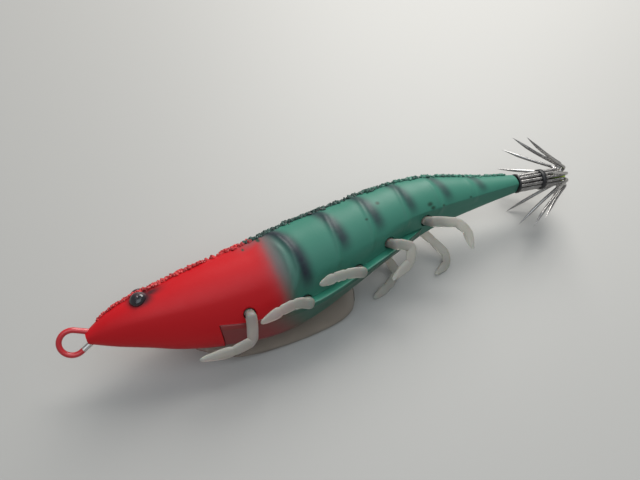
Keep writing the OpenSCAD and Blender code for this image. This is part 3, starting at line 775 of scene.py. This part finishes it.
# %% [markdown]
# Two things hardly show: the silicone bar that joins the legs inside the body, and the lead sinker
# under the cover. They keep their own shape and only get a material.
# %% Inner bar and sinker
lead_mat, g = material("cast_lead", Metallic=1.0, Roughness=0.5)
g.feed("Base Color", g.noise(300.0, 3.0).mix((0.18, 0.18, 0.20), (0.36, 0.36, 0.38)))
g.bump(g.noise(800.0), 0.3, 0.0001)
for name, mat in (("leg_web", legs_mat), ("sinker", lead_mat)):
    for ob in bpy.context.scene.objects:
        if ob.type == "MESH" and ob.name.split(".")[0] == name:
            ob.data.materials.clear()
            ob.data.materials.append(mat)
            print(ob.name, "gets", mat.name)

# %% [markdown]
# ## Table, camera and light
# The jig lies on a pale matt table. A plain grey sheet is enough: it catches the soft shadow that shows
# how the jig leans on its keel, a needle tip and one leg.
# %% Table
floor_mat, g = material("pale_table", (0.34, 0.332, 0.318), Roughness=0.55)
HALF = 1.5                                        # half the sheet's side, in metres
corners = np.array([[-HALF, -HALF, 0], [HALF, -HALF, 0], [HALF, HALF, 0], [-HALF, HALF, 0]])
table = mesh("table_top", corners, [[0, 1, 2, 3]], material=floor_mat)

# %% [markdown]
# The camera is hand-held, close above the table on the jig's left side and a little towards its head.
# Its place is given in the jig's own axes, so it stays right if the jig's resting pose changes. The
# lens is nearly normal.
# %% Camera
# bearing, height and tilt of the view in degrees, and where the camera stands, in jig millimetres
AZ, EL, ROLL = (math.radians(v) for v in (-14.0, 12.0, -16.65))
STAND = np.array([20.44, -133.33, 32.30])
back = np.array([math.sin(AZ) * math.cos(EL), -math.cos(AZ) * math.cos(EL), math.sin(EL)])
right = np.array([math.cos(AZ), math.sin(AZ), 0.0])
upv = np.cross(back, right)
R = math.cos(ROLL) * right + math.sin(ROLL) * upv
U = -math.sin(ROLL) * right + math.cos(ROLL) * upv
cam_data = bpy.data.cameras.new("camera")
cam_data.sensor_width, cam_data.lens = 36.0, 34.875
cam_data.clip_start = 0.005
cam = bpy.data.objects.new("camera", cam_data)
bpy.context.scene.collection.objects.link(cam)
M = np.eye(4)
M[:3, :3] = np.stack([R @ AXES, U @ AXES, back @ AXES], 1)
M[:3, 3] = row(STAND)
cam.matrix_world = Matrix(M.tolist())
bpy.context.scene.camera = cam
down = math.degrees(math.asin((back @ AXES)[2]))
print("camera at", row(STAND).round(3).tolist(), "looks down by", round(down, 1))

# %% [markdown]
# The light is daylight from a window beyond the tail, with a bluish sky light above. Two broad area
# lights give soft shadows; neither is seen by the camera.
# %% Light


def lamp(name, place, aim, size, power, colour=(1, 1, 1)):
    """A square area light of that size and power at place, aimed at aim."""
    data = bpy.data.lights.new(name, "AREA")
    data.size, data.energy, data.color = size, power, colour
    ob = bpy.data.objects.new(name, data)
    bpy.context.scene.collection.objects.link(ob)
    z = np.asarray(place, float) - np.asarray(aim, float)
    z /= np.linalg.norm(z)
    x = np.cross([0, 0, 1.0], z)
    x = x / np.linalg.norm(x) if np.linalg.norm(x) > 1e-6 else np.array([1.0, 0, 0])
    m = np.eye(4)
    m[:3, :3] = np.stack([x, np.cross(z, x), z], 1)
    m[:3, 3] = place
    ob.matrix_world = Matrix(m.tolist())
    ob.visible_camera = False
    return ob


lamp("window", (0.20, 0.26, 0.30), (0.03, 0.0, 0), 0.30, 2.6, (1.0, 0.985, 0.95))
lamp("cool_sky", (-0.02, -0.16, 0.55), (0, 0, 0), 0.55, 1.6, (0.84, 0.93, 1.0))
world = bpy.data.worlds.new("room")
bpy.context.scene.world = world
world.use_nodes = True
world.node_tree.nodes["Background"].inputs[0].default_value = (0.95, 0.98, 1.0, 1)
world.node_tree.nodes["Background"].inputs[1].default_value = 0.36
bpy.context.scene.view_settings.view_transform = "Standard"
